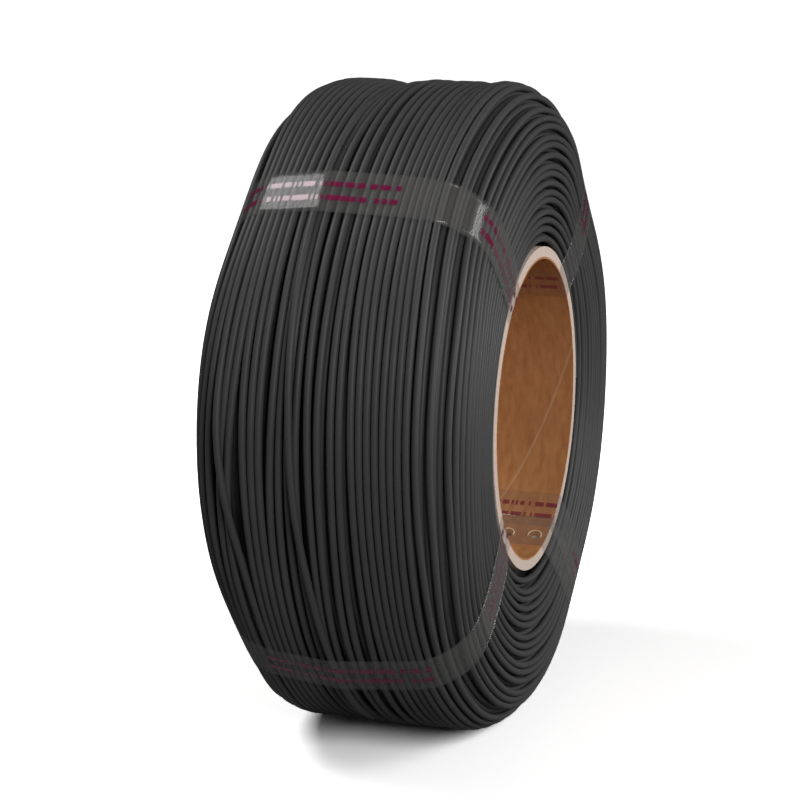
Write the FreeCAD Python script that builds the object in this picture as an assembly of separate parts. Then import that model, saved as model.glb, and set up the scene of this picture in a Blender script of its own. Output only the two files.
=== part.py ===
# A filament refill coil: filament wound on a cardboard core and held by four clear tape bands.
# Millimetres and degrees. The coil's axis is Y, +Z is up, and the origin is the middle of the core's
# bore. The coil stands on its rim. Angles are taken in the XZ plane, from +X towards +Z.
import FreeCAD, Part
import math
import os

Vector = FreeCAD.Vector

# Core: a spiral-wound board tube, lined with one ply of kraft paper
bore_diameter = 76.2
core_wall = 3.1
liner_thickness = 0.5
core_length = 60.0

# Two holes punched through the core near one end, which anchor the filament's start
anchor_hole_diameter = 2.2
anchor_hole_angle = 285.5
anchor_hole_inset = 3.0
anchor_hole_spacing = 7.5
start_tip_recess = 0.4

# Filament, and the coil that it is wound into
filament_diameter = 1.75
coil_diameter = 165.0
coil_width = 64.5
coil_width_at_core = 60.0
shoulder_radius = 14.0
widest_tilt = 85.0
core_clearance = 0.05

# Outer layer, about two of every three turns left out: tight at the near side, loose at the far side
near_pitch = 5.6
far_pitch = 7.3
turns_on_shoulder = 34.0
strand_clearance = 0.15
foot_depth = filament_diameter/10

# Turns that stand on the flanks, three of every four left out
flank_pitch = 8.8

# Tape bands: the angle of each band's middle in the bore and on the coil's outside
tape_width = 12.0
tape_thickness = 0.1
tape_clearance = 0.02
tape_lap = 22.0
upper_left_angles = (128.5, 134.0)
upper_right_angles = (49.0, 44.0)
lower_left_angles = (219.0, 218.5)
lower_right_angles = (302.0, 306.0)
# The last band's free end leaves its start at an angle and is stuck down inside the bore
tail_angles = (288.5, 303.0)
tail_depth_in_bore = 22.0

# Worked out from the sizes above
bore_radius = bore_diameter/2
liner_radius = bore_radius+liner_thickness
core_radius = bore_radius+core_wall
coil_radius = coil_diameter/2
half_width = coil_width/2
buried_radius = coil_radius-filament_diameter
shoulder_place = half_width-shoulder_radius
shoulder_height = buried_radius-shoulder_radius
strand_height = filament_diameter-strand_clearance
winding_foot = coil_width_at_core/2


def at(angle, radius, y):
    """Point on the coil at an angle round the axis, a radius from it and a place along it."""
    turn = math.radians(angle)
    return Vector(radius*math.cos(turn), y, radius*math.sin(turn))


def revolved(corners):
    """Solid of revolution about the coil's axis, from the (y, radius) corners of its outline."""
    points = [Vector(radius, y, 0) for y, radius in corners]
    outline = Part.makePolygon(points+[points[0]])
    return Part.Face(outline).revolve(Vector(0, 0, 0), Vector(0, 1, 0), 360)


def tube(inner, outer, length):
    """Tube about the coil's axis, with its middle at the origin."""
    half = length/2
    return revolved([(-half, inner), (half, inner), (half, outer), (-half, outer)])


def anchor_holes():
    """The two punched holes, as the rods that cut them."""
    rods = []
    for number in range(2):
        y = -core_length/2+anchor_hole_inset+number*anchor_hole_spacing
        start = at(anchor_hole_angle, bore_radius-core_wall, y)
        rods.append(Part.makeCylinder(anchor_hole_diameter/2, 3*core_wall, start, start-Vector(0, y, 0)))
    return rods


def core_liner():
    """Inner kraft ply of the core."""
    return tube(bore_radius, liner_radius, core_length).cut(anchor_holes())


def core_body():
    """Board plies of the core, from the liner to the winding."""
    return tube(liner_radius, core_radius, core_length).cut(anchor_holes())


def filament_start():
    """Tip of the filament's inner end, which stands in the second anchor hole."""
    y = -core_length/2+anchor_hole_inset+anchor_hole_spacing
    tip = at(anchor_hole_angle, bore_radius+start_tip_recess, y)
    return Part.makeCylinder(filament_diameter/2, core_wall-start_tip_recess, tip, tip-Vector(0, y, 0))


def on_shoulder(tilt, radius):
    """Corner (y, radius) on the far shoulder, tilted from the coil's top towards its flank."""
    turn = math.radians(tilt)
    return (shoulder_place+radius*math.sin(turn), shoulder_height+radius*math.cos(turn))


def both_halves(far_half):
    """Outline through the corners of its far half and their mirror images."""
    return far_half+[(-y, radius) for y, radius in reversed(far_half)]


def flank_turns(foot, widest):
    """Corners of a flank whose turns stand on it as ridges, from its foot to its widest place."""
    along = Vector(widest[0]-foot[0], widest[1]-foot[1], 0)
    gaps = max(1, int(along.Length/flank_pitch))
    step = along/gaps
    half = along.normalize()*(filament_diameter/2)
    inwards = Vector(-along.y, along.x, 0)*strand_height
    corners = []
    for gap in range(gaps):
        crest = Vector(foot[0], foot[1], 0)+step*gap
        corners += [crest, crest+half+inwards, crest+step-half+inwards]
    return [(corner.x, corner.y) for corner in corners]+[widest]


def winding_body():
    """Buried layers of the coil, whose flanks bulge past the core's ends."""
    foot = (winding_foot, core_radius+core_clearance)
    shoulder = [on_shoulder(tilt, shoulder_radius) for tilt in (widest_tilt, turns_on_shoulder, 0)]
    return revolved(both_halves(flank_turns(foot, shoulder[0])+shoulder[1:]))


def strand_radius(y):
    """Radius of the underside of a strand that lies at a place along the coil."""
    past = abs(y)-shoulder_place
    seat = shoulder_radius+strand_clearance
    if past <= 0:
        return shoulder_height+seat
    return shoulder_height+math.sqrt(seat**2-past**2)


# The outer layer spans the flat top of the coil and the start of both shoulders
turns_half_span = shoulder_place+shoulder_radius*math.sin(math.radians(turns_on_shoulder))
loops = int(4*turns_half_span/(near_pitch+far_pitch))
start_angle = lower_left_angles[1]


def strand_place(turns):
    """Point under the outer layer's strand after a number of turns."""
    y = -turns_half_span+near_pitch*turns+(far_pitch-near_pitch)*turns**2/(2*loops)
    return at(start_angle+360*turns, strand_radius(y), y)


def strand_direction(turns):
    """Direction of the strand after a number of turns."""
    step = 0.001
    return (strand_place(turns+step)-strand_place(turns-step)).normalize()


def arc_from(start, direction, end):
    """Arc that leaves a point in a direction and ends at another point."""
    chord = end-start
    normal = direction.cross(chord).normalize()
    inward = normal.cross(direction)
    radius = chord.dot(chord)/(2*chord.dot(inward))
    centre = start+inward*radius
    middle = (start-centre)+(end-centre)
    return Part.Arc(start, centre+middle.normalize()*radius, end).toShape()


def biarc(start, start_direction, end, end_direction):
    """Two arcs that join two points and leave and meet them in the given directions."""
    chord = end-start
    both = start_direction+end_direction
    spread = 4-both.dot(both)
    lean = chord.dot(both)
    reach = (math.sqrt(lean**2+spread*chord.dot(chord))-lean)/spread
    first = start+start_direction*reach
    second = end-end_direction*reach
    joint = (first+second)*0.5
    return [arc_from(start, start_direction, joint), arc_from(joint, (second-first).normalize(), end)]


def strand_section(tilt):
    """Section of the strand where it starts: flat beneath, with its ridge outwards."""
    out = at(start_angle, 1, 0)
    along = Vector(0, 1, 0)
    up = out*math.cos(tilt)+along*math.sin(tilt)
    side = along*math.cos(tilt)-out*math.sin(tilt)
    foot = strand_place(0)-strand_direction(0)*filament_diameter
    half = side*(filament_diameter/2)
    return Part.makePolygon([foot-half, foot+half, foot+up*strand_height, foot-half])


def outer_turns():
    """Outer layer of turns: one strand, whose section turns with the coil's shoulders."""
    runs = []
    for half_turn in range(2*loops):
        here = half_turn/2
        ends = (here, here+0.5)
        start, end = (strand_place(turns) for turns in ends)
        start_direction, end_direction = (strand_direction(turns) for turns in ends)
        runs += biarc(start, start_direction, end, end_direction)
    first, last = strand_place(0), strand_place(loops)
    before = first-strand_direction(0)*filament_diameter
    after = last+strand_direction(loops)*filament_diameter
    path = Part.Wire([Part.makeLine(before, first)]+runs+[Part.makeLine(last, after)])
    sweep = Part.BRepOffsetAPI.MakePipeShell(path)
    sweep.add(strand_section(-turns_half_span/buried_radius))
    sweep.build()
    sweep.makeSolid()
    strand = sweep.shape()
    print("outer turns", loops, "strand length", round(path.Length), "least gap", round(least_gap(), 2))
    ground = Part.makeBox(coil_diameter, coil_width, foot_depth)
    ground.translate(Vector(-coil_radius, -half_width, -coil_radius))
    return strand.cut(ground)


def least_gap():
    """Least gap between one turn of the outer layer and the next, measured on points."""
    steps = 48
    gap = coil_width
    for step in range(steps*(loops-1)):
        here = strand_place(step/steps)
        for near in range(-2, 3):
            beside = strand_place(1+(step+near)/steps)
            gap = min(gap, (beside-here).Length-filament_diameter)
    return gap


def tape_outline(gap):
    """Outline that tape pulled tight round the coil follows, a gap outside all that it touches.

    It runs along the bore, over the rim, up the flank to the shoulder, from there straight to the
    last of the outer turns, across the top, and back the same way.
    """
    over_rim = [(core_length/2+gap, bore_radius-gap), (max(core_length/2, winding_foot)+gap, core_radius)]
    over_turns = shoulder_radius+filament_diameter+gap
    top = [on_shoulder(turns_on_shoulder, over_turns), on_shoulder(0, over_turns)]
    return both_halves(over_rim+[on_shoulder(widest_tilt, shoulder_radius+gap)]+top)


def tape_strip(angles, layer, from_radius, to_radius, near_y, far_y):
    """Stretch of tape in one layer, between two radii and two places along the coil."""
    gap = tape_clearance+layer*tape_thickness
    start = at(angles[0], bore_radius, near_y)
    end = at(angles[1], coil_radius, near_y)
    along = (end-start).normalize()
    side = along.cross(Vector(0, 1, 0))*(tape_width/2)
    start += along*(from_radius-bore_radius)
    end += along*(to_radius-coil_radius)
    corners = [start-side, end-side, end+side, start+side]
    slab = Part.Face(Part.makePolygon(corners+[corners[0]])).extrude(Vector(0, far_y-near_y, 0))
    return slab.common(revolved(tape_outline(gap+tape_thickness))).cut(revolved(tape_outline(gap)))


def tape_band(angles):
    """Clear tape looped through the bore and round the coil."""
    past = half_width+tape_width
    return tape_strip(angles, 0, bore_radius-tape_width, coil_radius+tape_width, -past, past)


def lapped_band(angles):
    """Band whose end is lapped over its start on the near flank."""
    near_y = -half_width-tape_width
    return tape_band(angles).fuse(tape_strip(angles, 1, shoulder_height-tape_lap, shoulder_height, near_y, 0))


def band_with_tail(angles):
    """Band whose end runs back over its start at an angle and is stuck down inside the bore."""
    near_y = -half_width-tape_width
    bore_end = -core_length/2+tail_depth_in_bore
    tail = tape_strip(tail_angles, 1, bore_radius-tape_width, shoulder_height, near_y, bore_end)
    return tape_band(angles).fuse(tail)


parts = {
    "core_liner": core_liner(),
    "core_body": core_body(),
    "filament_start": filament_start(),
    "winding_body": winding_body(),
    "outer_turns": outer_turns(),
    "tape_upper_left": lapped_band(upper_left_angles),
    "tape_upper_right": lapped_band(upper_right_angles),
    "tape_lower_left": lapped_band(lower_left_angles),
    "tape_lower_right": band_with_tail(lower_right_angles),
}

os.makedirs("parts", exist_ok=True)
for part_name, shape in parts.items():
    solids = Part.Compound(shape.Solids) if len(shape.Solids) > 1 else shape.Solids[0]
    solids.exportStep("parts/"+part_name+".step")
    print(part_name, "solids", len(shape.Solids), "volume", round(shape.Volume, 1), "valid", solids.isValid())
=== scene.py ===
# A filament refill coil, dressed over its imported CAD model. The coil's axis is Y and it stands on its
# rim. The dictionaries give sizes in millimetres and degrees; angles run in the XZ plane, from +X
# towards +Z, and a place is a distance along the axis, with the near end at minus.
import math

import bpy
import numpy as np
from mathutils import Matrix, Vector, geometry


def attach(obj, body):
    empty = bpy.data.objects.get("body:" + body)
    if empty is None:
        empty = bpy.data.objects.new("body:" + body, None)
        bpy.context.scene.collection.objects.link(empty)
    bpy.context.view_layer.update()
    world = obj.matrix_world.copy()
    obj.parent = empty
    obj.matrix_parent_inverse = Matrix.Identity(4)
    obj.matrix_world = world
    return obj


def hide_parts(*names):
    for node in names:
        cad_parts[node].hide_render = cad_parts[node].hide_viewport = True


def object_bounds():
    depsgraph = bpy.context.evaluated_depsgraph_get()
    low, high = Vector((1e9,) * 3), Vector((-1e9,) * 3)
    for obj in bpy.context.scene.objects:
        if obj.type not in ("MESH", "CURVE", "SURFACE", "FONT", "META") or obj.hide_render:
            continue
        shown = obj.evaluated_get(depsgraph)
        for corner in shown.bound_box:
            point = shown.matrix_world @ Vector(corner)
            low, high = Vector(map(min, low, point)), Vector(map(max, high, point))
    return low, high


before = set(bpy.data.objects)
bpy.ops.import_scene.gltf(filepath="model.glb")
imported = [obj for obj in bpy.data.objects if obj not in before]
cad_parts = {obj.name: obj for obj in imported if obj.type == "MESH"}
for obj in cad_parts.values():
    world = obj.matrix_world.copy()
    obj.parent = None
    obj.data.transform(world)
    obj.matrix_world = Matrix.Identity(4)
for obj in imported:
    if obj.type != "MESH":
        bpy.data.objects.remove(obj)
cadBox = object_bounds()
mm = 0.001
rng = np.random.default_rng(7)
print("frame loaded:", sorted(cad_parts))


def pickOnly(piece):
    bpy.ops.object.select_all(action="DESELECT")
    piece.select_set(True)
    bpy.context.view_layer.objects.active = piece


def newPiece(name, data):
    piece = bpy.data.objects.new(name, data)
    bpy.context.scene.collection.objects.link(piece)
    pickOnly(piece)
    return piece


def linear(hexColour):  # sRGB hex to linear RGBA
    channels = [int(hexColour[i:i+2], 16)/255 for i in (1, 3, 5)]
    return [c/12.92 if c <= 0.04045 else ((c+0.055)/1.055)**2.4 for c in channels]+[1.0]


def addNode(tree, kind, settings={}, inputs={}):  # a node with its settings, values and links
    node = tree.nodes.new(kind)
    for name, value in settings.items():
        setattr(node, name, value)
    for socket, value in inputs.items():
        if isinstance(value, bpy.types.NodeSocket):
            tree.links.new(value, node.inputs[socket])
        else:
            node.inputs[socket].default_value = value
    return node


def newMaterial(name, settings):
    material = bpy.data.materials.new(name)
    material.use_nodes = True
    shader = material.node_tree.nodes["Principled BSDF"]
    for socket, value in settings.items():
        shader.inputs[socket].default_value = value
    return material, material.node_tree, shader


def perMetre(featureSize):  # texture scale for a pattern whose features are this many millimetres
    return 1/(featureSize*mm)


# Camera: the photograph's viewing angle, from the coil's near left and a little above
view = dict(azimuth=-72.14, elevation=11.92, distance=495, lens=85.95, sensor=36,
            shiftX=-0.032, shiftY=0.0014)
turn, lift = math.radians(view["azimuth"]), math.radians(view["elevation"])
outwards = Vector((math.sin(turn)*math.cos(lift), -math.cos(turn)*math.cos(lift), math.sin(lift)))
bpy.ops.object.camera_add(location=outwards*view["distance"]*mm)
camera = bpy.context.object
camera.rotation_euler = (-outwards).to_track_quat("-Z", "Y").to_euler()
camera.data.sensor_width = view["sensor"]
camera.data.lens = view["lens"]
camera.data.shift_x = view["shiftX"]
camera.data.shift_y = view["shiftY"]
bpy.context.scene.camera = camera
print("camera placed")


# The skin is the surface that the middles of the outermost strands lie on
skin = dict(strand=1.75, flatHalf=18.8, flatRadius=81.6, shoulderWide=12.8, shoulderHigh=15.2,
            footPlace=29.3, footRadius=42.2, flankBulge=1.7, flatSamples=60, curveSamples=90, slopeStep=0.2)
dips = [dict(place=6.5, depth=1.5, reach=4.0), dict(place=-16.3, depth=0.7, reach=2.5),
        dict(place=-12.0, depth=0.6, reach=14.0)]
dipShare = dict(allRound=0.45, onTop=0.55, topAngle=92, reach=28)
squeeze = dict(depths={134: 2.1, 44: 2.2, 218.5: 1.9, 306: 1.2}, reach=18, fromPlace=11, overPlace=13,
               fromRadius=45, overRadius=20, inwards=0.75, downwards=0.65)  # where the tapes draw it in
angleSteps = 180  # rings of the mesh in one turn
angles = np.arange(angleSteps)*360/angleSteps


def farHalf():  # places and radii from the middle of the top to the far foot
    widest = skin["flatHalf"]+skin["shoulderWide"]
    base = skin["flatRadius"]-skin["shoulderHigh"]
    tilt = np.radians(np.linspace(0, 90, skin["curveSamples"]))
    down = np.linspace(0, 1, skin["curveSamples"])[1:]
    flat = np.linspace(0, skin["flatHalf"], skin["flatSamples"])[:-1]
    place = np.concatenate([flat, skin["flatHalf"]+skin["shoulderWide"]*np.sin(tilt),
                            widest-(widest-skin["footPlace"])*down**skin["flankBulge"]])
    radius = np.concatenate([np.full(len(flat), skin["flatRadius"]), base+skin["shoulderHigh"]*np.cos(tilt),
                             base-(base-skin["footRadius"])*down])
    return place, radius


halfPlace, halfRadius = farHalf()
linePlace = np.concatenate([-halfPlace[:0:-1], halfPlace])
lineRadius = np.concatenate([halfRadius[:0:-1], halfRadius])
lineRun = np.concatenate([[0], np.cumsum(np.hypot(np.diff(linePlace), np.diff(lineRadius)))])
wholeRun = lineRun[-1]


def dipDepth(place, angle):  # the top of the coil has sunk a little between its humps
    depth = sum(dip["depth"]*np.exp(-((place-dip["place"])/dip["reach"])**2) for dip in dips)
    fromTop = (angle-dipShare["topAngle"])/dipShare["reach"]
    return depth*(dipShare["allRound"]+dipShare["onTop"]*np.exp(-fromTop**2))


def skinPoint(run, angle, height):  # place and radius, a run along the skin and a height above it
    place, radius = np.interp(run, lineRun, linePlace), np.interp(run, lineRun, lineRadius)
    pull = sum(depth*np.exp(-(((angle-band+180) % 360-180)/squeeze["reach"])**2)
               for band, depth in squeeze["depths"].items())
    pull = pull*np.clip((np.abs(place)-squeeze["fromPlace"])/squeeze["overPlace"], 0, 1)
    away = np.clip((radius-squeeze["fromRadius"])/squeeze["overRadius"], 0, 1)
    place = place-squeeze["inwards"]*pull*away*np.sign(place)
    radius = radius-squeeze["downwards"]*pull*away
    step = skin["slopeStep"]
    ahead = np.interp(run+step, lineRun, linePlace)-np.interp(run-step, lineRun, linePlace)
    rise = np.interp(run+step, lineRun, lineRadius)-np.interp(run-step, lineRun, lineRadius)
    size = np.hypot(ahead, rise)
    height = height-dipDepth(place, angle)*(ahead/size)
    return place-height*rise/size, radius+height*ahead/size


def runAt(place):  # run along the skin to a place on the top or its shoulders
    top = lineRadius >= skin["flatRadius"]-skin["shoulderHigh"]
    return np.interp(place, linePlace[top], lineRun[top])


# Outer turns: where each lies along the axis at seven angles down the side that shows. The near ones
# are tight, the far ones have slipped apart, and two strays cross over their neighbours.
outer = dict(
    angles=[126, 150, 166, 180, 194, 210, 226],
    turns=[
        [-29.0, -29.5, -29.1, -29.1, -29.8, -29.6, -29.6],
        [-26.1, -26.3, -26.1, -26.0, -27.0, -26.7, -26.9],
        [-22.9, -23.2, -23.3, -23.3, -24.2, -25.0, -25.2],
        [-21.0, -21.3, -21.5, -21.5, -22.2, -22.8, -23.6],
        [-19.3, -19.5, -19.7, -19.8, -20.2, -20.7, -21.8],
        [-17.6, -17.5, -17.7, -18.0, -18.3, -18.7, -19.9],
        [-15.8, -15.9, -16.0, -16.4, -16.7, -17.0, -18.0],
        [-14.0, -13.5, -14.2, -14.6, -15.0, -15.2, -15.9],
        [-12.1, -11.4, -12.5, -12.9, -13.2, -13.4, -13.9],
        [-10.2, -9.6, -10.7, -11.3, -11.6, -11.5, -11.9],
        [-8.2, -8.0, -8.6, -9.4, -9.6, -9.4, -8.7],
        [-6.0, -5.9, -6.0, -6.5, -6.5, -5.7, -5.5],
        [-4.3, -4.1, -3.9, -4.5, -4.4, -3.4, -3.7],
        [-1.3, -1.3, -0.8, -1.4, -1.5, -0.3, 0.1],
        [0.9, 1.5, 1.6, 0.9, 0.5, 1.4, 2.0],
        [3.7, 4.1, 4.0, 4.0, 3.9, 3.8, 3.9],
        [5.5, 5.8, 5.8, 5.9, 6.1, 6.1, 6.3],
        [7.4, 7.5, 7.6, 8.1, 8.6, 8.5, 8.7],
        [9.1, 9.2, 9.4, 10.0, 10.5, 10.5, 10.4],
        [11.1, 12.0, 12.6, 12.7, 12.6, 12.3, 12.2],
        [13.2, 13.9, 14.5, 14.4, 14.0, 13.9, 13.9],
        [15.3, 16.0, 16.6, 16.3, 15.7, 15.3, 15.5],
        [16.9, 17.6, 18.7, 20.2, 21.0, 21.1, 19.6],
        [18.6, 19.5, 20.6, 21.9, 23.0, 22.6, 21.3],
        [22.4, 23.9, 25.0, 25.4, 25.3, 24.4, 23.1],
        [24.2, 25.8, 27.0, 27.9, 27.2, 26.2, 24.9],
    ],
    strays=[
        [6.6, 6.5, 5.6, 4.8, 2.9, 1.0, 0.6],
        [20.6, 22.0, 22.8, 21.2, 18.3, 17.1, 17.0],
    ],
    strayOver=[(110, 240), (140, 215)],  # the angles between which each stray lies over its neighbours
    strayReach=6.0,  # how near a turn has to come to count as a stray's neighbour
    flankPitch=2.3, leastPitch=1.77, edgeRun=0.4, pushes=60, lowest=-0.6,
    wander=dict(outer=0.05, stray=0.05, flank=0.12), hiddenWander=3.0, waveRates=(0.37, 0.83, 1.7),
    shown=(120, 232), runSmooth=4, heightSmooth=2.5, sides=10, flankSides=8)


def smoothAlong(values, spread):  # soften a strand's path along its own length
    reach = int(3*spread)
    weights = np.exp(-0.5*(np.arange(-reach, reach+1)/spread)**2)
    padded = np.concatenate([np.full(reach, values[0]), values, np.full(reach, values[-1])])
    return np.convolve(padded, weights/weights.sum(), "valid")


def waves(length):  # slow sideways wander of a hand-loosened strand
    turns = np.arange(length)/angleSteps
    return sum(1/(n+1)*np.sin(2*math.pi*(rate*turns+rng.random()))
               for n, rate in enumerate(outer["waveRates"]))


def layOut():  # every turn's run at each angle, in the order that the strand was wound
    regular = [[runAt(place) for place in turn] for turn in outer["turns"]]
    strays = [[runAt(place) for place in turn] for turn in outer["strays"]]
    pitch = outer["flankPitch"]
    middle = len(outer["angles"])//2
    nearRuns = np.arange(regular[0][middle]-pitch, 0, -pitch)[::-1]
    farRuns = np.arange(regular[-1][middle]+pitch, wholeRun, pitch)
    keys = len(outer["angles"])
    rows = np.array([[run]*keys for run in nearRuns]+regular+[[run]*keys for run in farRuns]+strays)
    kinds = ["flank"]*len(nearRuns)+["outer"]*len(regular)+["flank"]*len(farRuns)+["stray"]*len(strays)
    first, last = np.argsort(rows[:, 0]), np.argsort(rows[:, -1])
    joints = np.concatenate([[rows[first[0], 0]-pitch/2], (rows[last[:-1], -1]+rows[first[1:], 0])/2,
                             [rows[last[-1], -1]+pitch/2]])
    startRank, endRank = np.argsort(first), np.argsort(last)
    keyAngles = [0]+outer["angles"]+[360]
    runs = np.array([np.interp(angles, keyAngles, [joints[startRank[t]], *rows[t], joints[endRank[t]+1]])
                     for t in range(len(rows))])
    chains, left = [], set(range(len(rows)))
    here = first[0]
    while left:
        chain = []
        while here in left:
            left.remove(here)
            chain.append(here)
            if endRank[here]+1 < len(rows):
                here = first[endRank[here]+1]
        chains.append(chain)
        here = min(left, default=0)
    return runs, kinds, chains


turnRuns, turnKinds, chains = layOut()
strayTurns = [t for t, kind in enumerate(turnKinds) if kind == "stray"]
shown = (angles > outer["shown"][0]) & (angles < outer["shown"][1])
for chain in chains:
    sideways = waves(len(chain)*angleSteps).reshape(len(chain), angleSteps)
    for t, wave in zip(chain, sideways):
        turnRuns[t] += wave*outer["wander"][turnKinds[t]]*np.where(shown, 1, outer["hiddenWander"])


def overNeighbours(t, angle):
    low, high = outer["strayOver"][strayTurns.index(t)]
    return low < angle < high


def makeRoom():  # no two strands of the layer lie closer than they are thick
    for step, angle in enumerate(angles):
        flat = [t for t in range(len(turnRuns)) if t not in strayTurns or not overNeighbours(t, angle)]
        flat = np.array(sorted(flat, key=lambda t: turnRuns[t, step]))
        runs = turnRuns[flat, step]
        for _ in range(outer["pushes"]):
            push = np.clip(outer["leastPitch"]-np.diff(runs), 0, None)/2
            runs[:-1] -= push
            runs[1:] += push
            runs = np.clip(runs, outer["edgeRun"], wholeRun-outer["edgeRun"])
        turnRuns[flat, step] = runs


def alongChains(values, spread):  # the same softening, carried on from turn to turn
    for chain in chains:
        long = smoothAlong(values[chain].reshape(-1), spread)
        values[chain] = long.reshape(len(chain), angleSteps)


makeRoom()
alongChains(turnRuns, outer["runSmooth"])

# Buried turns: the layer beneath, wound evenly, which shows in the gaps
buried = dict(pitch=1.8, start=0.8, depth=1.5, sunk=2.6, sunkFrom=-2, sunkOver=6, sides=6, stepsSkipped=2)
buriedCount = int((wholeRun-2*buried["pitch"])/buried["pitch"])
buriedRuns = buried["pitch"]*(buried["start"]+np.arange(buriedCount)[:, None]+angles[None, :]/360)
buriedPlaces, buriedRadii = skinPoint(buriedRuns, angles[None, :], -buried["depth"])
towardsFar = np.interp(buriedRuns, lineRun, linePlace)-buried["sunkFrom"]
sunk = np.clip(towardsFar/buried["sunkOver"], 0, 1)  # the far half's gaps are deeper
lowPlaces, lowRadii = skinPoint(buriedRuns, angles[None, :], -buried["depth"]-buried["sunk"]*sunk)


def restOn(t, placed):  # height at which a turn comes to rest on the strands already placed
    basePlace, baseRadius = skinPoint(turnRuns[t], angles, 0)
    topPlace, topRadius = skinPoint(turnRuns[t], angles, 1)
    outPlace, outRadius = topPlace-basePlace, topRadius-baseRadius
    size = np.hypot(outPlace, outRadius)
    outPlace, outRadius = outPlace/size, outRadius/size
    places, radii = placed
    offPlace, offRadius = places-basePlace, radii-baseRadius
    along = offPlace*outPlace+offRadius*outRadius
    aside = np.abs(offPlace*outRadius-offRadius*outPlace)
    reach = skin["strand"]**2-aside**2
    return np.where(reach > 0, along+np.sqrt(np.maximum(reach, 0)), outer["lowest"]).max(axis=0)


heights = np.array([restOn(t, (buriedPlaces, buriedRadii)) for t in range(len(turnRuns))])
for t in strayTurns:
    others = [n for n in range(len(turnRuns))
              if n not in strayTurns and abs(turnRuns[n]-turnRuns[t]).min() < outer["strayReach"]]
    othersAt = skinPoint(turnRuns[others], angles[None, :], heights[others])
    over = np.array([overNeighbours(t, angle) for angle in angles])
    heights[t] = np.where(over, np.maximum(heights[t], restOn(t, othersAt)), heights[t])
alongChains(heights, outer["heightSmooth"])
turnPlaces, turnRadii = skinPoint(turnRuns, angles[None, :], heights)
print("turns laid out:", len(turnRuns), "in", len(chains), "runs")


def spots(places, radii, degrees):  # points in metres
    turns = np.radians(degrees)
    return np.stack([radii*np.cos(turns), places, radii*np.sin(turns)], axis=-1)*mm


def windStrands(name, paths, thickness, sides):  # round strands along the paths, as one mesh
    line = bpy.data.curves.new(name, "CURVE")
    line.dimensions = "3D"
    line.bevel_depth = thickness/2*mm
    line.bevel_resolution = sides//2-2
    line.use_fill_caps = True
    for path in paths:
        spline = line.splines.new("POLY")
        spline.points.add(len(path)-1)
        points = np.column_stack([path, np.ones(len(path))]).astype(np.float32)
        spline.points.foreach_set("co", points.ravel())
    newPiece(name, line)
    bpy.ops.object.convert(target="MESH")
    piece = bpy.context.object
    piece.data.name = name
    bpy.ops.object.shade_smooth()
    return piece


def chainPaths(kinds):  # the stretches of every chain that belong to these kinds
    points = spots(turnPlaces, turnRadii, angles[None, :])
    paths = []
    for chain in chains:
        stretch = []
        for number, t in enumerate(chain):
            if turnKinds[t] in kinds:
                stretch.append(points[t])
                following = chain[number+1] if number+1 < len(chain) else None
                if following is not None and turnKinds[following] not in kinds:
                    stretch.append(points[following][:1])
            if stretch and (turnKinds[t] not in kinds or number == len(chain)-1):
                paths.append(np.concatenate(stretch))
                stretch = []
    return paths


outerTurns = windStrands("outer_turns_wound", chainPaths(["outer", "stray"]), skin["strand"], outer["sides"])
flankTurns = windStrands("flank_turns_wound", chainPaths(["flank"]), skin["strand"], outer["flankSides"])
buriedPath = spots(lowPlaces, lowRadii, angles[None, :]).reshape(-1, 3)[::buried["stepsSkipped"]]
buriedTurns = windStrands("buried_turns_wound", [buriedPath], skin["strand"], buried["sides"])


def spinRing(name, corners, steps):  # solid ring about the coil's axis, from its closed outline
    data = bpy.data.meshes.new(name)
    points = [(radius*mm, place*mm, 0) for place, radius in corners]
    data.from_pydata(points, [(n, (n+1) % len(points)) for n in range(len(points))], [])
    piece = newPiece(name, data)
    bpy.ops.object.mode_set(mode="EDIT")
    bpy.ops.mesh.select_all(action="SELECT")
    bpy.ops.mesh.spin(steps=steps, angle=2*math.pi, center=(0, 0, 0), axis=(0, 1, 0))
    bpy.ops.mesh.select_all(action="SELECT")
    bpy.ops.mesh.remove_doubles(threshold=0.00001)
    bpy.ops.mesh.normals_make_consistent(inside=False)
    bpy.ops.object.mode_set(mode="OBJECT")
    bpy.ops.object.shade_smooth_by_angle(angle=math.radians(40))
    return piece


# Winding core: the coil's bulk under the buried turns, so that nothing shows through its gaps
core = dict(depth=5.0, angle=200, edgeRun=1.5, leastRadius=41.4, footRadius=41.3, samples=60, steps=96)
coreRuns = np.linspace(core["edgeRun"], wholeRun-core["edgeRun"], core["samples"])
corePlaces, coreRadii = skinPoint(coreRuns, core["angle"], -core["depth"])
coreCorners = list(zip(corePlaces, np.maximum(coreRadii, core["leastRadius"])))
coreCorners = [(corePlaces[0], core["footRadius"])]+coreCorners+[(corePlaces[-1], core["footRadius"])]
windingCore = spinRing("winding_core", coreCorners, core["steps"])
coilPieces = (outerTurns, flankTurns, buriedTurns, windingCore)
print("strands wound:", [(piece.name, len(piece.data.polygons)) for piece in coilPieces])

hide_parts("outer_turns")
for piece in (flankTurns, buriedTurns, windingCore):
    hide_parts("winding_body")
for piece in coilPieces:
    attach(piece, "root")


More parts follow.
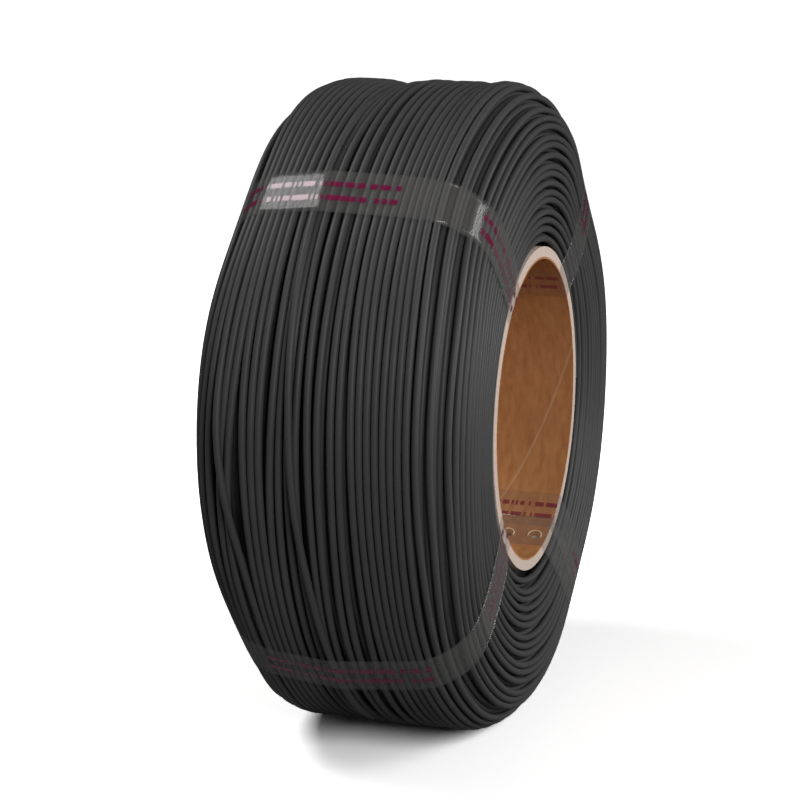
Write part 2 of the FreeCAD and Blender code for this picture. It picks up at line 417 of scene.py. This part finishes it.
# Punched lips: the paper pushed out of the two anchor holes, curled up beside each
lips = dict(angle=288.2, aside=2.6, places=[-26.9, -19.5], radius=1.75, wire=0.42, offBore=37.85, rise=0.35,
            fromAngle=-15, toAngle=200, samples=16, sides=8)
bend = np.radians(np.linspace(lips["fromAngle"], lips["toAngle"], lips["samples"]))
lipAngles = lips["angle"]-lips["aside"]+np.degrees(lips["radius"]*np.sin(bend)/lips["offBore"])
lipRadii = lips["offBore"]-lips["rise"]*np.sin(bend).clip(0)
lipArcs = [spots(place+lips["radius"]*np.cos(bend), lipRadii, lipAngles) for place in lips["places"]]
anchorLips = windStrands("anchor_lips", lipArcs, lips["wire"], lips["sides"])
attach(anchorLips, "root")


# Filament: extruded PLA, dark grey through and through. Its satin skin gives each strand a soft highlight,
# and its grain is drawn coarser than it is, to show.
filament, tree, shader = newMaterial("extruded dark grey filament", {
    "Roughness": 0.5, "IOR": 1.46, "Specular IOR Level": 0.35})
place = addNode(tree, "ShaderNodeTexCoord").outputs["Object"]
cloud = addNode(tree, "ShaderNodeTexNoise", {}, {"Vector": place, "Scale": perMetre(14.0), "Detail": 2.0})
grey = addNode(tree, "ShaderNodeMix", {"data_type": "RGBA"}, {
    "Factor": cloud.outputs["Fac"], "A": linear("#424242"), "B": linear("#4A4A4A")})
tree.links.new(grey.outputs["Result"], shader.inputs["Base Color"])
grain = addNode(tree, "ShaderNodeTexNoise", {}, {"Vector": place, "Scale": perMetre(0.35), "Detail": 3.0})
skinBump = addNode(tree, "ShaderNodeBump", {}, {
    "Strength": 0.12, "Distance": 0.03*mm, "Height": grain.outputs["Fac"]})
tree.links.new(skinBump.outputs["Normal"], shader.inputs["Normal"])
for piece in coilPieces:
    piece.data.materials.clear()
    piece.data.materials.append(filament)
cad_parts["filament_start"].data.materials[0] = filament


# Tape: clear film pulled tight round the coil
tape = dict(width=12.0, thickness=0.08, off=0.1, layer=0.12, rimPlace=30.0, rimRadius=41.2, boreRadius=38.1,
            boreOff=0.03, boreStops=(-8, 15), cornerIn=1.0, cornerUp=0.4, centreRadius=60.0, columns=9,
            samples=150, hullStep=30, edgeSamples=12, smooth=5)
laps = dict(flank=dict(beyond=-25, radius=56, reach=11), bore=dict(beyond=-7, below=67))


def tightLine(angle, lift):  # closed line that tape follows at one angle: place, radius
    step = int(round(angle/360*angleSteps)) % angleSteps
    around = np.radians(np.arange(0, 360, tape["hullStep"]))
    reach = skin["strand"]/2
    cloud = [(p+reach*np.cos(a), r+reach*np.sin(a))
             for p, r in zip(turnPlaces[:, step], turnRadii[:, step]) for a in around]
    rim, edge = tape["rimPlace"], tape["rimRadius"]
    cloud += [(-rim, edge), (rim, edge), (-rim, tape["boreRadius"]), (rim, tape["boreRadius"])]
    hull = [cloud[n] for n in geometry.convex_hull_2d([Vector(point) for point in cloud])]
    hull = np.array(hull+hull[:1])
    dense = np.concatenate([np.linspace(a, b, tape["edgeSamples"])[:-1] for a, b in zip(hull[:-1], hull[1:])])
    centre = tape["centreRadius"]
    away = dense-np.array([0.0, centre])
    bearing = np.arctan2(away[:, 0], away[:, 1])  # 0 at the top of the coil, growing towards the far end
    order = np.argsort(bearing)
    far = np.arctan2(rim, edge-centre)
    bearings = np.linspace(-far, far, tape["samples"])
    distance = np.interp(bearings, bearing[order], np.hypot(*away.T)[order])
    padded = np.pad(distance, tape["smooth"]//2, mode="edge")
    distance = np.convolve(padded, np.ones(tape["smooth"])/tape["smooth"], "valid")+tape["off"]+lift
    places, radii = distance*np.sin(bearings), centre+distance*np.cos(bearings)
    inBore = tape["boreRadius"]-tape["boreOff"]-lift
    end = rim+tape["off"]+lift
    turnIn, corner = end-tape["cornerIn"], tape["boreRadius"]+tape["cornerUp"]
    nearStop, farStop = tape["boreStops"]
    places = np.concatenate([[0, nearStop, -turnIn, -end, -end], places, [end, end, turnIn, farStop]])
    radii = np.concatenate([[inBore]*4+[corner], radii, [corner]+[inBore]*3])
    return places, radii


def tapeStrip(name, ends, lift, printShift=0, keep=None):  # one layer, a sheet with its UV in millimetres
    start = np.array([math.cos(math.radians(ends[0])), math.sin(math.radians(ends[0]))])*tape["boreRadius"]
    end = np.array([math.cos(math.radians(ends[1])), math.sin(math.radians(ends[1]))])*skin["flatRadius"]
    along = (end-start)/np.linalg.norm(end-start)
    side = np.array([-along[1], along[0]])
    columns = []
    acrosses = np.linspace(-tape["width"]/2, tape["width"]/2, tape["columns"])
    rowShift = 0 if keep is None else tape["width"]  # an end is bare, past the rows of dashes
    for across in acrosses:
        places, radii = tightLine(ends[1]+math.degrees(across/skin["flatRadius"]), lift)
        base = start+side*across
        lean = base@along
        reach = -lean+np.sqrt(lean**2-base@base+radii**2)
        columns.append(np.stack([base[0]+along[0]*reach, places, base[1]+along[1]*reach], axis=-1))
    grid = np.array(columns)
    middle = grid[len(acrosses)//2]
    used = np.arange(len(middle)) if keep is None else np.nonzero(keep(middle))[0]
    run = np.concatenate([[0], np.cumsum(np.linalg.norm(np.diff(middle, axis=0), axis=1))])
    run += printShift-run[len(middle)//2]
    grid, run = grid[:, used], run[used]
    rows, wide = len(used), len(acrosses)
    lastRow = rows if keep is None else rows-1  # a whole band is closed
    faces, corners = [], []
    for r in range(lastRow):
        for c in range(wide-1):
            following = (r+1) % rows
            faces.append((c*rows+r, (c+1)*rows+r, (c+1)*rows+following, c*rows+following))
            nextRun = run[r+1] if r+1 < rows else run[-1]+tape["boreStops"][1]
            low, high = acrosses[c]+rowShift, acrosses[c+1]+rowShift
            corners += [(run[r], low), (run[r], high), (nextRun, high), (nextRun, low)]
    data = bpy.data.meshes.new(name)
    data.from_pydata([tuple(point*mm) for point in grid.reshape(-1, 3)], [], faces)
    uv = data.uv_layers.new(name="tapeRun")
    uv.data.foreach_set("uv", np.array(corners, np.float32).ravel())
    piece = newPiece(name, data)
    bpy.ops.object.shade_smooth()
    return piece


def onFlank(line):  # where a band's end laps over its start
    lap, fromAxis = laps["flank"], np.hypot(line[:, 0], line[:, 2])
    return (line[:, 1] < lap["beyond"]) & (np.abs(fromAxis-lap["radius"]) < lap["reach"])


def intoBore(line):  # from the near shoulder over the rim and into the bore
    lap, fromAxis = laps["bore"], np.hypot(line[:, 0], line[:, 2])
    return (line[:, 1] < lap["beyond"]) & (fromAxis < lap["below"])


# A band and its lap each have two angles: where the tape leaves the bore, and where it crosses the top
bands = {
    "tape_upper_left": dict(angles=(128.5, 134.0), lap=(128.5, 134.0), lapOver=onFlank, printShift=12.0),
    "tape_upper_right": dict(angles=(49.0, 44.0), lap=None, printShift=110.0),
    "tape_lower_left": dict(angles=(219.0, 218.5), lap=(219.0, 218.5), lapOver=onFlank, printShift=22.0),
    "tape_lower_right": dict(angles=(302.0, 306.0), lap=(288.5, 303.0), lapOver=intoBore, printShift=110.0),
}
for name, band in bands.items():
    layers = [tapeStrip(name+"_film", band["angles"], 0, band["printShift"])]
    if band["lap"]:
        layers.append(tapeStrip(name+"_end", band["lap"], tape["layer"], keep=band["lapOver"]))
    pickOnly(layers[0])
    for layer in layers:
        layer.select_set(True)
    if len(layers) > 1:
        bpy.ops.object.join()
    band["piece"] = bpy.context.object
    film = band["piece"].modifiers.new("film", "SOLIDIFY")
    film.thickness = tape["thickness"]*mm
    film.offset = 0
    bpy.ops.object.modifier_apply(modifier="film")
    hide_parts(name)
    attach(band["piece"], "root")
print("tapes pulled tight:", [len(band["piece"].data.polygons) for band in bands.values()])


def calc(tree, operation, *values):  # one step of arithmetic on shader values
    node = addNode(tree, "ShaderNodeMath", {"operation": operation}, dict(enumerate(values)))
    return node.outputs[0]


# Clear tape: glossy film, nearly invisible but for its glare and two rows of plain dashes
clearTape, tree, shader = newMaterial("clear polypropylene tape", {
    "Base Color": linear("#8E8C8A"), "Roughness": 0.1, "IOR": 1.6, "Specular IOR Level": 1.0, "Alpha": 0.09})
run = addNode(tree, "ShaderNodeSeparateXYZ", {}, {
    0: addNode(tree, "ShaderNodeUVMap", {"uv_map": "tapeRun"}).outputs["UV"]})
place = addNode(tree, "ShaderNodeTexCoord").outputs["Object"]
printing = dict(repeat=62.0, length=41.0, rowOff=2.0, rowHalf=0.75, dash=0.6, inked=0.3, rowSlip=0.37,
                filmAlpha=0.13, inkAlpha=0.45)
along, across = run.outputs["X"], run.outputs["Y"]
intoRepeat = calc(tree, "FLOORED_MODULO", along, printing["repeat"])
inMessage = calc(tree, "LESS_THAN", intoRepeat, printing["length"])
offRow = calc(tree, "ABSOLUTE", calc(tree, "SUBTRACT", calc(tree, "ABSOLUTE", across), printing["rowOff"]))
inRow = calc(tree, "LESS_THAN", offRow, printing["rowHalf"])
dashNumber = calc(tree, "ADD", calc(tree, "FLOOR", calc(tree, "DIVIDE", along, printing["dash"])),
                  calc(tree, "MULTIPLY", calc(tree, "SIGN", across), printing["rowSlip"]))
inDash = calc(tree, "GREATER_THAN", addNode(tree, "ShaderNodeTexWhiteNoise", {"noise_dimensions": "1D"}, {
    "W": dashNumber}).outputs["Value"], printing["inked"])
ink = calc(tree, "MULTIPLY", calc(tree, "MULTIPLY", inMessage, inRow), inDash)
tint = addNode(tree, "ShaderNodeMix", {"data_type": "RGBA"}, {
    "Factor": ink, "A": linear("#8E8C8A"), "B": linear("#8C1A4E")})
tree.links.new(tint.outputs["Result"], shader.inputs["Base Color"])
alpha = calc(tree, "ADD", calc(tree, "MULTIPLY", ink, printing["inkAlpha"]), printing["filmAlpha"])
tree.links.new(alpha, shader.inputs["Alpha"])
crease = addNode(tree, "ShaderNodeTexNoise", {}, {"Vector": place, "Scale": perMetre(9.0), "Detail": 2.0})
creaseBump = addNode(tree, "ShaderNodeBump", {}, {
    "Strength": 0.35, "Distance": 0.3*mm, "Height": crease.outputs["Fac"]})
tree.links.new(creaseBump.outputs["Normal"], shader.inputs["Normal"])
for band in bands.values():
    band["piece"].data.materials.clear()
    band["piece"].data.materials.append(clearTape)


# Board: the tube's cut wall, matt and pale, whose plies show as fine rings
board, tree, shader = newMaterial("spiral-wound grey board, cut edge", {
    "Roughness": 0.85, "Specular IOR Level": 0.2})
place = addNode(tree, "ShaderNodeTexCoord").outputs["Object"]
axes = addNode(tree, "ShaderNodeSeparateXYZ", {}, {0: place})
radius = calc(tree, "SQRT", calc(tree, "ADD", calc(tree, "POWER", axes.outputs["X"], 2.0),
                                 calc(tree, "POWER", axes.outputs["Z"], 2.0)))
fibre = addNode(tree, "ShaderNodeTexNoise", {}, {"Vector": place, "Scale": perMetre(1.2), "Detail": 4.0})
plies = dict(thickness=0.55, contrast=0.12)
ply = calc(tree, "SINE", calc(tree, "MULTIPLY", radius, 2*math.pi/(plies["thickness"]*mm)))
tone = calc(tree, "ADD", fibre.outputs["Fac"], calc(tree, "MULTIPLY", ply, plies["contrast"]))
colour = addNode(tree, "ShaderNodeMix", {"data_type": "RGBA"}, {
    "Factor": tone, "A": linear("#CDB5A6"), "B": linear("#F0DFD2")})
tree.links.new(colour.outputs["Result"], shader.inputs["Base Color"])
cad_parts["core_body"].data.materials[0] = board

# Kraft paper: the tube's lining, matt and mottled, with the pale seam where one turn of the ply meets
# the next
kraft, tree, shader = newMaterial("brown kraft paper", {"Roughness": 0.8, "Specular IOR Level": 0.25})
place = addNode(tree, "ShaderNodeTexCoord").outputs["Object"]
axes = addNode(tree, "ShaderNodeSeparateXYZ", {}, {0: place})
stretched = addNode(tree, "ShaderNodeMapping", {}, {"Vector": place, "Scale": (0.35, 1.0, 0.35)})
mottle = addNode(tree, "ShaderNodeTexNoise", {}, {
    "Vector": stretched.outputs["Vector"], "Scale": perMetre(1.6), "Detail": 4.0})
colour = addNode(tree, "ShaderNodeMix", {"data_type": "RGBA"}, {
    "Factor": mottle.outputs["Fac"], "A": linear("#9F6337"), "B": linear("#D59A64")})
seam = dict(place=-26.0, angle=358.0, lead=83.3, width=0.7, show=0.35)
bearing = calc(tree, "MULTIPLY", calc(tree, "ARCTAN2", axes.outputs["Z"], axes.outputs["X"]),
               seam["lead"]*mm/(2*math.pi))
offSeam = calc(tree, "ADD", calc(tree, "ADD", axes.outputs["Y"], bearing),
               -(seam["place"]+seam["angle"]*seam["lead"]/360)*mm)
offSeam = calc(tree, "PINGPONG", offSeam, seam["lead"]/2*mm)
onSeam = calc(tree, "LESS_THAN", offSeam, seam["width"]/2*mm)
seamShare = calc(tree, "MULTIPLY", onSeam, seam["show"])
withSeam = addNode(tree, "ShaderNodeMix", {"data_type": "RGBA"}, {
    "Factor": seamShare, "A": colour.outputs["Result"], "B": linear("#D8B592")})
tree.links.new(withSeam.outputs["Result"], shader.inputs["Base Color"])
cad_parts["core_liner"].data.materials[0] = kraft

# Torn kraft: rough paper fibre at the punched lips, paler than its face
paperEdge, tree, shader = newMaterial("torn kraft, pale inside", {"Roughness": 0.9})
place = addNode(tree, "ShaderNodeTexCoord").outputs["Object"]
tear = addNode(tree, "ShaderNodeTexNoise", {}, {"Vector": place, "Scale": perMetre(0.8), "Detail": 3.0})
colour = addNode(tree, "ShaderNodeMix", {"data_type": "RGBA"}, {
    "Factor": tear.outputs["Fac"], "A": linear("#C49A6A"), "B": linear("#F0E0C4")})
tree.links.new(colour.outputs["Result"], shader.inputs["Base Color"])
anchorLips.data.materials.append(paperEdge)
print("materials made")


# Studio: a white ground that keeps only the coil's close shadow, under a plain white surround. Only the
# camera sees either as bright, so that they put no more light on the coil than the photograph's do.
studio = dict(ground=2.5, bounce=0.25, surround=1.2, fill=0.03, shadowReach=0.13)
ground = bpy.data.materials.new("white paper ground")
ground.use_nodes = True
tree = ground.node_tree
tree.nodes.remove(tree.nodes["Principled BSDF"])
rays = addNode(tree, "ShaderNodeLightPath")
paper = addNode(tree, "ShaderNodeMix", {"data_type": "RGBA"}, {
    "Factor": rays.outputs["Is Camera Ray"], "A": (studio["bounce"],)*3+(1,),
    "B": (studio["ground"],)*3+(1,)})
matt = addNode(tree, "ShaderNodeBsdfDiffuse", {}, {"Color": paper.outputs["Result"]})
farOff = addNode(tree, "ShaderNodeVectorMath", {"operation": "LENGTH"}, {
    0: addNode(tree, "ShaderNodeTexCoord").outputs["Object"]}).outputs["Value"]
reach = studio["shadowReach"]
faded = addNode(tree, "ShaderNodeMapRange", {}, {
    "Value": farOff, "From Min": reach, "From Max": 2*reach}).outputs["Result"]
plain = addNode(tree, "ShaderNodeEmission", {}, {
    "Strength": calc(tree, "MULTIPLY", faded, rays.outputs["Is Camera Ray"])})
lit = addNode(tree, "ShaderNodeAddShader", {}, {0: matt.outputs["BSDF"], 1: plain.outputs["Emission"]})
tree.links.new(lit.outputs["Shader"], tree.nodes["Material Output"].inputs["Surface"])
bpy.ops.mesh.primitive_plane_add(size=60, location=(0, 0, cadBox[0][2]))
floor = bpy.context.object
floor.name = "floor"
floor.data.materials.append(ground)

world = bpy.data.worlds.new("white surround")
world.use_nodes = True
bpy.context.scene.world = world
tree = world.node_tree
rays = addNode(tree, "ShaderNodeLightPath")
seen = calc(tree, "MAXIMUM", rays.outputs["Is Camera Ray"], rays.outputs["Is Transmission Ray"])
strength = calc(tree, "ADD", calc(tree, "MULTIPLY", seen, studio["surround"]), studio["fill"])
background = tree.nodes["Background"]
background.inputs["Color"].default_value = (1, 1, 1, 1)
tree.links.new(strength, background.inputs["Strength"])


softboxes = dict(
    softbox_overhead=dict(towards=(-0.15, 0.55, 0.85), distance=0.7, size=(0.5, 0.3), power=2.55),
    softbox_key=dict(towards=(-0.75, -0.6, 0.45), distance=0.9, size=(0.3, 0.3), power=3.35),
    softbox_near=dict(towards=(0.3, -1.0, 0.3), distance=0.9, size=(0.5, 0.4), power=3.72))
for name, softbox in softboxes.items():
    away = Vector(softbox["towards"]).normalized()
    bpy.ops.object.light_add(type="AREA", location=away*softbox["distance"])
    lamp = bpy.context.object
    lamp.name = name
    lamp.rotation_euler = away.to_track_quat("Z", "Y").to_euler()
    lamp.data.shape = "RECTANGLE"
    lamp.data.size, lamp.data.size_y = softbox["size"]
    lamp.data.energy = softbox["power"]

bpy.context.scene.view_settings.view_transform = "Standard"
print("studio lit")
